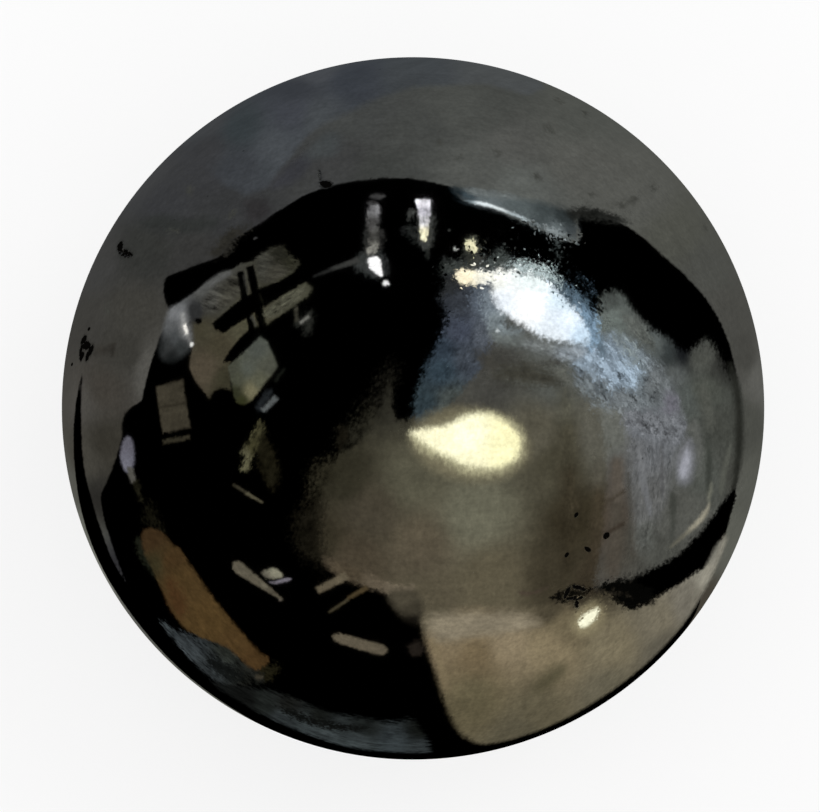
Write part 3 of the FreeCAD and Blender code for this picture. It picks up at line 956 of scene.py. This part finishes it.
# A brown strip, and a mottled blue-grey band.
LOWER_LEFT = [
    Card(curved((-89, -32), (-86.4, -33), (-83, -41), (-88, -38)), (16, 15, 9), 1.4, 3.6, 0.8,
        (-60, 1.6, 0.8)),
    Card(curved((-91, -44), (-89, -43), (-84, -55), (-89, -49)), (24, 26, 19), 0.9, 1.8, 0.4),
    Card(curved((-82.4, -70), (-78, -72), (-72, -73.4), (-63, -74.6), (-50, -83), (-47, -87.6),
        (-54, -89), (-63, -90), (-70, -85), (-75.6, -79)), [(-72, -78, (50, 55, 57)),
        (-66, -83, (40, 44, 45)), (-52, -86, (24, 25, 22)), (-60, -78, (36, 39, 35))], 0.9, 2.6,
        1.2, (-40, 3, 0.7)),
    Card(curved((-67, -81), (-60, -82), (-54, -86), (-58, -88), (-64, -85)), (16, 18, 17), 1.0, 4.4,
        0.6, (-40, 1.1, 0.55)),
    Card(curved((-60, -92), (-54, -91), (-53, -96.4), (-58, -95)), (16, 17, 16), 0.8, 4.6, 0.9,
        (-35, 1.4, 0.8)),
    Card(curved((-66, -90), (-54, -90), (-43, -91.4), (-28, -97), (-8, -100.4), (0.6, -100),
        (5.6, -112), (0, -114), (-20, -112.4), (-38, -106.2), (-56, -97)),
        [(-54, -94, (16, 17, 16)), (-48, -96, (28, 31, 29)), (-40, -95, (24, 25, 23)),
        (-30, -98.6, (20, 22, 20)), (-42, -101, (46, 51, 52)), (-34, -104, (52, 58, 59)),
        (-15, -102, (26, 29, 28)), (-18, -109, (54, 60, 61)), (-6, -108, (48, 54, 56)),
        (-28, -107, (54, 60, 61)), (2, -103, (18, 20, 18)), (3, -110, (46, 51, 52))], 1.1, 2.2, 0.7,
        (ROUND, 4, 0.7)),
    Card(curved((-44, -95), (-34, -98.6), (-24, -101), (-14, -102), (-26, -103.6), (-38, -100)),
        (12, 13, 12), 0.7, 4.6, 0.6, (ROUND, 1.2, 0.6)),
    Card(curved((-89, -41), (-87, -39.6), (-83.4, -41), (-80, -45), (-77, -47), (-73.6, -52),
        (-62.6, -65.6), (-50, -78.4), (-46.4, -80.6), (-48, -83.6), (-52, -83.6), (-60, -77),
        (-70, -73.4), (-76, -69), (-83.4, -56), (-88.4, -46)), [(-87, -43, (56, 42, 26)),
        (-80, -50, (66, 50, 30)), (-84, -51, (52, 47, 30)), (-76, -56, (72, 56, 33)),
        (-64, -70, (76, 59, 34)), (-58, -76, (72, 55, 32)), (-50, -81, (66, 49, 28))], 0.6, 0.8,
        0.30, (-50, 2.6, 1.0)),
    Card(curved((-80, -55), (-74, -62), (-75, -68), (-79, -63)), (68, 48, 28), 1.8, 2.4, 0.3),
    Card(curved((-49, -84), (-46, -82.6), (-43, -83.6), (-47, -87.4)), (26, 24, 14), 1.0, 3.4, 0.9,
        (-20, 1.3, 0.8)),
    Card(ellipse((-49.6, -86.2), 1.0, 0.7, -10), (62, 58, 48), 0.7, 1.0, 0.4),
]

# A plain board in two leaves, above a rail.
BOARD = [
    Card(straight((-84, 7), (-73, 9), (-70, -6), (-81, -8)), (60, 56, 46), 0.6, 0.5, 0.3,
        (10, 1.8, 1.4)),
    Card(bar((-82.6, 0.2), (-71.4, 1.8), 0.6), (42, 39, 31), 0.5, 0.4, 0.2),
    Card(bar((-81.2, -11), (-70.2, -9), 1.3), (50, 47, 37), 0.5, 0.6, 0.2),
]

# Panels on the left: a pale wall cut by dark frames.
PANELS = [
    Card(straight((-80, 32.4), (-70, 37.8), (-61, 43.2), (-57, 43.8), (-54.6, 45.4), (-50.4, 46),
        (-44, 49.4), (-34, 45.6), (-36, 41.6), (-41, 38.5), (-33, 38.4), (-30, 36), (-31.5, 33.4),
        (-48.5, 22.4), (-56, 14.5), (-55.5, 5.5), (-58, 6.3), (-61.5, 5.4), (-63, 3), (-68.5, 9),
        (-70.6, 13), (-69.8, 19)), [(-76, 33, (92, 94, 95)), (-67, 38, (77, 78, 76)),
        (-62, 34, (58, 58, 52)), (-70, 31, (40, 41, 42)), (-67, 25, (64, 61, 48)),
        (-60, 20, (63, 59, 46)), (-53, 26, (73, 71, 56)), (-65, 13, (75, 68, 56)),
        (-57, 9, (52, 50, 38)), (-38, 45, (48, 48, 39)), (-33, 36, (68, 68, 56))], 0.4, 0.5, 0.16,
        (-12, 2.6, 0.7)),
    Card(curved((-67, 35), (-56, 42), (-54, 36), (-63, 30)), [(-66, 36, (64, 64, 60)),
        (-56, 34, (60, 59, 52))], 1.4, 0.8, 1.3, (-22, 3.4, 0.42)),
    Card(curved((-70, 37), (-64, 41.6), (-58, 43.4), (-59, 41.6)), (84, 85, 84), 1.0, 0.6, 0.2,
        (30, 4, 0.6)),
    Card(curved((-48.6, 47), (-40, 50), (-35, 44), (-46, 38)), [(-47, 44, (60, 60, 54)),
        (-42, 42, (56, 55, 48)), (-38, 46, (42, 42, 33))], 1.0, 1.6, 0.8, (-14, 3, 0.55)),
    Card(curved((-45, 48.6), (-41, 49.6), (-38, 46), (-42, 45.6)), (34, 34, 28), 0.7, 4.6, 0.8,
        (-30, 3, 0.6)),
    Card(curved((-45, 30), (-33, 36.6), (-34, 33), (-43, 27.4)), [(-35, 35, (76, 76, 64))], 0.8,
        1.0, 1.1, (33, 1.8, 0.5)),
    Card(curved((-38, 51), (-33.4, 47), (-35.4, 45), (-39, 48.6)), BLACK, 0.7, 4.0, 0.0,
        (-30, 1.4, 0.6)),
    Card(ellipse((-69.3, 30.6), 2.0, 3.0, 20), (44, 45, 45), 1.6, 0.5),
    Card(curved((-69.6, 28.4), (-67, 28.6), (-67, 27), (-68.4, 26.8)), BLACK, 0.5, 0.5),
    Card(straight((-63, 26.6), (-61.6, 24.4), (-58.6, 23.2), (-45, 31), (-48, 36.4), (-53.6, 33.6)),
        BLACK, 0.4, 0.5),
    Card(straight((-45, 30.6), (-38, 35), (-29, 39.6), (-41, 38.8), (-48, 36.6)), BLACK, 0.4, 0.6),
    *(
        Card(bar(start, end, width), BLACK, 0.35, 0.3)
        for start, end, width in (
            ((-47.2, 30), (-44.6, 22), 2.6), ((-54.2, 43), (-52, 34), 2.3),
            ((-52, 34.4), (-48.8, 23.6), 2.0), ((-51, 44.6), (-46, 27), 2.7),
        )
    ),
    Card(bar((-53, 41.5), (-50.9, 35.4), 0.5), (44, 44, 41), 0.35, 0.2),
    Card(bar((-49.2, 28.4), (-47.6, 24.6), 0.9, 0.7), (62, 62, 56), 0.35, 0.2),
    Card(curved((-57.8, 14), (-57.2, 16.2), (-52.6, 21.8), (-48.8, 24.4), (-43.8, 25), (-45, 21),
        (-52, 16)), BLACK, 0.4, 0.3),
    Card(straight((-56.6, 12.8), (-50, 18.2), (-46.2, 21.6), (-44, 20.4), (-40.2, 12.4), (-48, 3),
        (-50.6, 1), (-53, 1.6), (-54.5, 4)), [(-47, 18, (76, 80, 74)), (-50, 12, (80, 84, 76)),
        (-43, 13, (78, 80, 70)), (-48.6, 5, (112, 108, 84)), (-46, 8, (86, 87, 72)),
        (-53, 9, (70, 72, 60)), (-54, 5, (44, 46, 32)), (-51.5, 2.4, (46, 48, 28)),
        (-55, 12, (66, 68, 58))], 0.45, 0.4, 0.10),
]

# The pale screen at their left, with a slanted white light.
SCREEN = [
    Card(curved((-80.4, 32), (-77, 33.5), (-73.4, 32), (-69.8, 21), (-74, 16.4), (-78, 15),
        (-81.6, 16.2), (-83.4, 19), (-82.4, 25)), [(-77.6, 31, (112, 114, 116)),
        (-79, 27, (84, 86, 87)), (-77, 23, (68, 71, 72)), (-79.6, 20, (50, 52, 52)),
        (-74, 19.6, (50, 53, 53)), (-78, 16.6, (28, 30, 30)), (-82.6, 20, (34, 36, 36))], 1.5, 0.5,
        0.05),
    Card(curved((-73.6, 31), (-70.4, 22), (-72.6, 22), (-75.6, 25.6)), (108, 109, 109), 1.5, 0.3),
    Card(capsule((-74.6, 30), (-72.2, 23.6), 1.7, 1.2), (150, 151, 150), 1.1, 0.3),
    Card(capsule((-73.3, 26.6), (-72.2, 24.2), 1.3, 1.0), (255, 252, 244), 0.4),
    Card(bar((-72, 23.6), (-70.6, 21), 0.5), (120, 120, 118), 0.5),
    Card(ellipse((-70.1, 20.2), 0.7, 0.7), (240, 240, 236), 0.35),
]

# A hook beside them.
HOOK = [
    Card(bar((-35, 30.6), (-34.6, 25.4), 1.0), (56, 55, 47), 0.5, 0.6, 0.3),
    Card(curved((-35.4, 25), (-30, 28.8), (-30, 23.6), (-31.6, 21.6), (-32.6, 24)), (34, 35, 32),
        0.7, 2.4, 0.8, (40, 1.2, 0.6)),
    Card(bar((-33.6, 25.4), (-30.8, 27.4), 0.9), (116, 116, 110), 0.4, 0.2),
]

# Narrow lights near the top, each with a tail.
NARROW_LIGHTS = [
    Card(curved((-16.4, 46.2), (-13, 47.6), (-9.4, 47), (-7.2, 41), (-11, 38.6), (-17.4, 42)),
        [(-15, 44, (52, 55, 54)), (-9, 45, (40, 42, 42))], 1.0, 2.0, 0.6, (80, 1.6, 0.9)),
    Card(bar((-30, 39.6), (-24, 42), 0.5, 0.9), (40, 41, 40), 0.5, 0.3, 0.2),
    Card(bar((-24.4, 41.9), (-16, 44.6), 0.9, 2.0), (58, 59, 57), 0.5, 0.3, 0.2),
    Card(curved((-14, 48), (-13.6, 62), (-10.6, 62.4), (-10.4, 56), (-10, 49), (-12, 46.6)),
        [(-11.2, 61.4, (124, 124, 126)), (-12.4, 57, (74, 74, 73)), (-12, 52, (66, 66, 63)),
        (-12.4, 48.6, (134, 133, 126))], 0.6, 1.4, 0.6, (90, 1.8, 0.9)),
    Card(curved((-15, 52), (-14, 56), (-13, 50), (-14.4, 47.6)), (36, 37, 36), 0.7, 1.6, 0.5),
    Card(curved((-10.4, 54), (-8.8, 53), (-9, 49), (-10.4, 48.4)), (34, 34, 33), 0.8, 1.6, 0.6),
    Card(curved((-14.8, 64.2), (-12.6, 64.6), (-11, 63.6), (-13, 62.6)), (60, 60, 60), 0.6, 1.2,
        0.3),
    Card(ellipse((-11.2, 66.1), 2.3, 0.9, 0), (62, 62, 62), 0.6, 0.6, 0.2),
    Card(curved((-13.4, 44.4), (-12, 45.4), (-10.2, 45.2), (-9.4, 42), (-8.9, 39.6), (-9.6, 39.1),
        (-11, 40), (-12.6, 41.6)), (262, 262, 262), 0.4, 0.4),
    Card(ellipse((-8.1, 37), 0.75, 0.75), (255, 255, 255), 0.45, 0.1),
    Card(curved((-1.6, 60.4), (0.6, 60.6), (1.6, 57), (1.6, 49.8), (3.4, 47.8), (5.6, 49.6),
        (6.6, 57.6), (5, 61), (2, 62), (-1, 57)), (56, 58, 56), 0.8, 1.8, 0.7, (85, 1.8, 0.8)),
    Card(curved((-1.4, 56), (1.4, 55), (1.4, 50), (-1.6, 52)), (30, 32, 31), 0.8, 2.6, 0.9,
        (0, 1.2, 0.9)),
    Card(ellipse((-3, 54), 0.8, 1.2), (26, 27, 27), 0.6, 1.4, 0.6),
    Card(curved((4.4, 48.6), (4.9, 46.6), (4.2, 44.4), (3.9, 46.6)), (36, 38, 36), 0.5, 0.5, 0.3),
    Card(straight((0.8, 64.9), (5.4, 64.9), (5.5, 62), (4.7, 53.6), (4.1, 51), (3.4, 50.2),
        (2.4, 51), (2.0, 54), (1.9, 57)), [(3, 64.2, (226, 225, 232)), (3.4, 60.5, (176, 175, 184)),
        (3.2, 57, (196, 196, 200)), (3.4, 53, (250, 245, 208))], 0.3, 0.6, 0.7, (90, 2.0, 0.9)),
    Card(curved((15, 46), (16.4, 51.6), (19.4, 52.2), (21.6, 45), (21, 43), (17, 43.6)),
        [(16, 51, (66, 68, 60)), (20, 46, (52, 53, 50)), (17, 46, (44, 46, 42))], 0.8, 2.2, 0.6,
        (60, 1.4, 0.9)),
    Card(curved((15.9, 50), (16.4, 51.2), (18.4, 51), (18.9, 47.4), (17.4, 47), (16.2, 48.4)),
        (228, 224, 186), 0.5, 0.7, 0.25, (90, 1, 0.7)),
    Card(ellipse((12.9, 48.1), 0.55, 0.55), (176, 178, 174), 0.4, 0.1),
    Card(ellipse((9.4, 45), 0.5, 0.8), (40, 42, 42), 0.5, 0.6),
    Card(ellipse((11, 54.2), 0.4, 0.4), (56, 58, 56), 0.3),
]

CARDS = (
    [SWEEP] + RING + FOLD + SIDE + COLUMN + HAZE + WINDOW + LAMPS + DARK_SIDE + LOWER_LEFT + BOARD
    + PANELS + SCREEN + HOOK + NARROW_LIGHTS
)


# A spot weighs 1 / (its distance in degrees + SPOT_CORE) ** SPOT_POWER in its card's blend.
SPOT_CORE = 1.0
SPOT_POWER = 4
# Cards are cut into this many cells along their longer side, within these limits in degrees.
CARD_CELLS = 80
FINEST_CELL = 0.3
COARSEST_CELL = 1.2
# How far apart the cards lie in the mottling noise, so that no two are mottled alike.
NOISE_GAP = 7.3


def shade_field(points, shades):
    """The shade at each point: the card's one shade, or a blend of its spots by nearness."""
    if isinstance(shades, tuple):
        return np.tile(seen(*shades), (len(points), 1))
    places = np.array([(x, y) for x, y, shade in shades], float)
    colours = np.array([seen(*shade) for x, y, shade in shades])
    gaps = np.linalg.norm(points[:, None, :] - places[None, :, :], axis=2)
    weights = 1 / (gaps + SPOT_CORE) ** SPOT_POWER
    weights /= weights.sum(axis=1)[:, None]
    return weights @ colours


def card_patch(card, layer):
    """One card's places in space, quads, look, light and places in the noise.

    The sweep covers the whole chart outside its outline, and any other card what is inside its own.
    """
    low = card.shape.min(axis=0)
    high = card.shape.max(axis=0)
    cell = float(np.clip((high - low).max() / CARD_CELLS, FINEST_CELL, COARSEST_CELL))
    spread = card.soft + card.ragged
    if card is SWEEP:
        low = np.full(2, -FARTHEST)
        high = np.full(2, FARTHEST)
    xs = np.arange(low[0] - spread - cell, high[0] + spread + 2 * cell, cell)
    ys = np.arange(low[1] - spread - cell, high[1] + spread + 2 * cell, cell)
    grid = np.stack(np.meshgrid(xs, ys), axis=-1)
    points = grid.reshape(-1, 2)
    depth = inside(points, card.shape)
    if card is SWEEP:
        depth = -depth
        points *= np.minimum(1, FARTHEST / np.maximum(np.hypot(*points.T), 1))[:, None]
    index = np.arange(len(points)).reshape(grid.shape[:2])
    quads = np.stack([index[:-1, :-1], index[:-1, 1:], index[1:, 1:], index[1:, :-1]], axis=-1)
    quads = quads.reshape(-1, 4)
    near = np.hypot(*points.T)[quads].min(axis=1) < FARTHEST - 0.01
    quads = quads[near & (depth[quads].max(axis=1) > -spread)]
    used = np.unique(quads)
    renumber = np.zeros(len(points), int)
    renumber[used] = np.arange(len(used))
    points = points[used]
    angle, long, short = card.grain
    off = np.hypot(*points.T)
    if angle == ROUND:
        along = np.arctan2(points[:, 0], -points[:, 1]) * np.median(off)
        across = off
    else:
        turn = math.radians(angle)
        along = points[:, 0] * math.cos(turn) + points[:, 1] * math.sin(turn)
        across = points[:, 1] * math.cos(turn) - points[:, 0] * math.sin(turn)
    spot = np.column_stack([along / long, across / short, np.full(len(points), layer * NOISE_GAP)])
    places = hang(points, layer)
    faded = np.clip((off - OUT_OF_SIGHT) / (FADED - OUT_OF_SIGHT), 0, 1)
    shade = shade_field(points, card.shades) * (1 - faded[:, None])
    shade += seen(*UNSEEN_GREY) * faded[:, None]
    light = shade / mirrored(places)[:, None]
    look = {
        "inside": depth[used],
        "soft": np.full(len(points), card.soft),
        "ragged": np.full(len(points), card.ragged),
        "cloud": card.cloud * (1 - faded),
    }
    return places, renumber[quads], look, light, spot


def make_cards():
    """All the cards as one mesh; each point knows its depth inside its card and the card's look."""
    places = []
    quads = []
    spots = []
    lights = []
    values = {"inside": [], "soft": [], "ragged": [], "cloud": []}
    start = 0
    for layer, card in enumerate(CARDS, start=1):
        points, faces, look, light, spot = card_patch(card, layer)
        places.append(points)
        quads.append(faces + start)
        start += len(points)
        spots.append(spot)
        lights.append(light)
        for name, value in look.items():
            values[name].append(value)
    mesh = bpy.data.meshes.new("studio_cards")
    mesh.from_pydata(np.concatenate(places), [], np.concatenate(quads).tolist())
    for name, parts in values.items():
        field = mesh.attributes.new(name, "FLOAT", "POINT")
        field.data.foreach_set("value", np.concatenate(parts).astype(np.float32))
    for name, parts in (("light", lights), ("spot", spots)):
        field = mesh.attributes.new(name, "FLOAT_VECTOR", "POINT")
        field.data.foreach_set("vector", np.concatenate(parts).astype(np.float32).ravel())
    mesh.materials.append(card_finish())
    return in_scene("studio_cards", mesh)


# How strongly the fine and the broad noise move a card's edge, and how strongly they mottle it.
FINE_WANDER = 2.4
BROAD_WANDER = 0.8
MOTTLING = 3.0


def card_finish():
    """Mottled light inside a card's ragged outline, clear outside it."""
    material = bpy.data.materials.new("studio_card")
    g = Graph(material)
    spot = g.attribute("spot", "Vector")
    fine = g.noise(spot, scale=1.2, detail=3.0, roughness=0.7)
    broad = g.noise(spot, scale=0.22, detail=3.0, roughness=0.6)
    wander = g.math("ADD", g.math("MULTIPLY", fine, FINE_WANDER),
                    g.math("MULTIPLY", broad, BROAD_WANDER))
    wander = g.math("SUBTRACT", wander, (FINE_WANDER + BROAD_WANDER) / 2)
    depth = g.math("MULTIPLY_ADD", wander, g.attribute("ragged"), g.attribute("inside"))
    soft = g.attribute("soft")
    mask = g.step(depth, g.math("MULTIPLY", soft, -1.0), soft)
    clouds = g.noise(spot, scale=0.4, detail=4.0, roughness=0.6)
    mottle = g.math("SUBTRACT", g.math("ADD", fine, clouds), 1.0)
    gain = g.math("MULTIPLY_ADD", mottle, g.math("MULTIPLY", g.attribute("cloud"), MOTTLING), 1.0)
    gain = g.math("MAXIMUM", gain, 0.0)
    light = g.node("ShaderNodeEmission", {
        "Color": g.attribute("light", "Vector"),
        "Strength": gain,
    })
    clear = g.node("ShaderNodeBsdfTransparent")
    shader = g.node("ShaderNodeMixShader", {0: mask, 1: clear.outputs[0], 2: light.outputs[0]})
    g.node("ShaderNodeOutputMaterial", {"Surface": shader.outputs[0]})
    # The cards light nothing, so they needn't be sampled as lamps.
    material.cycles.emission_sampling = "NONE"
    return material


# ---------------------------------------------------------------- the rest of the studio

PALE = (0.97, 0.97, 0.97)
AIR = (0.96, 0.96, 0.96)
# In metres.
FLOOR_SIZE = 8.0
LAMP_DISTANCE = 0.9
LAMP_SIZE = 0.5
# Share of the floor that the camera sees as plain glow. The rest is lit, and keeps the shadow.
FLOOR_GLOW = 0.72
# The drape's radius, in card shells.
DRAPE_REACH = 1.05


def only_reflected(thing):
    """Keeps the cards or the drape out of the picture: only the ball's polish sees them."""
    thing.visible_camera = False
    thing.visible_diffuse = False
    thing.visible_transmission = False
    thing.visible_volume_scatter = False
    thing.visible_shadow = False


def make_drape():
    """A black drape right round the set, behind the cards."""
    bm = bmesh.new()
    bmesh.ops.create_icosphere(bm, subdivisions=4, radius=CARD_SHELL * DRAPE_REACH * RADIUS)
    mesh = mesh_from(bm, "black_drape")
    material = bpy.data.materials.new("black_drape")
    g = Graph(material)
    dark = g.node("ShaderNodeBsdfDiffuse", {"Color": (0.0, 0.0, 0.0, 1.0)})
    g.node("ShaderNodeOutputMaterial", {"Surface": dark.outputs[0]})
    mesh.materials.append(material)
    return in_scene("black_drape", mesh)


def make_floor():
    bm = bmesh.new()
    bmesh.ops.create_grid(bm, x_segments=1, y_segments=1, size=FLOOR_SIZE / 2)
    mesh = mesh_from(bm, "pale_floor")
    floor = in_scene("pale_floor", mesh)
    floor.location = (0, 0, LOW.z)
    # In the floor's place the polish sees the grey sweep.
    floor.visible_glossy = False
    material = bpy.data.materials.new("pale_floor")
    g = Graph(material)
    paper = g.node("ShaderNodeBsdfDiffuse", {"Color": (*PALE, 1.0)})
    white = g.node("ShaderNodeEmission", {"Color": (*PALE, 1.0), "Strength": 1.0})
    path = g.node("ShaderNodeLightPath")
    glow = g.math("MULTIPLY", path.outputs["Is Camera Ray"], FLOOR_GLOW)
    shader = g.node("ShaderNodeMixShader", {0: glow, 1: paper.outputs[0], 2: white.outputs[0]})
    g.node("ShaderNodeOutputMaterial", {"Surface": shader.outputs[0]})
    mesh.materials.append(material)
    return floor


def make_world():
    world = bpy.data.worlds.new("pale_room")
    bpy.context.scene.world = world
    world.cycles_visibility.glossy = False
    g = Graph(world)
    air = g.node("ShaderNodeBackground", {"Color": (*AIR, 1.0), "Strength": 1.0})
    g.node("ShaderNodeOutputWorld", {"Surface": air.outputs[0]})


def soft_lamp(name, across, up, watts):
    """A soft disc lamp that faces the ball from a chart direction."""
    lamp = bpy.data.lights.new(name, "AREA")
    lamp.shape = "DISK"
    lamp.size = LAMP_SIZE
    lamp.energy = watts
    holder = in_scene(name, lamp)
    place = hang(np.array([[across, up]]), 0)[0]
    place *= LAMP_DISTANCE / np.linalg.norm(place)
    holder.location = place
    turn_to_ball = (-holder.location).to_track_quat("-Z", "Y")
    holder.rotation_euler = turn_to_ball.to_euler()
    holder.visible_glossy = False


def make_camera():
    camera = bpy.data.cameras.new("camera")
    camera.lens = 85
    camera.sensor_width = 36
    camera.clip_start = 0.01
    camera.clip_end = 10
    # The ball sits a hair off the middle of the frame.
    camera.shift_x = -0.0037
    camera.shift_y = 0.0029
    holder = in_scene("camera", camera)
    holder.location = LENS_WAY * CAMERA_DISTANCE
    holder.rotation_euler = (math.pi / 2 - LENS_ELEVATION, 0, 0)
    bpy.context.scene.camera = holder


# ---------------------------------------------------------------- build

ball = make_ball()
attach(ball, "root")
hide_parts(NODE)

floor = make_floor()
cards = make_cards()
drape = make_drape()
for screen in (cards, drape):
    only_reflected(screen)
make_world()
soft_lamp("window_lamp", across=34, up=29, watts=1.0)
soft_lamp("round_lamp", across=16, up=-12, watts=0.5)
make_camera()
bpy.context.scene.view_settings.view_transform = "Standard"
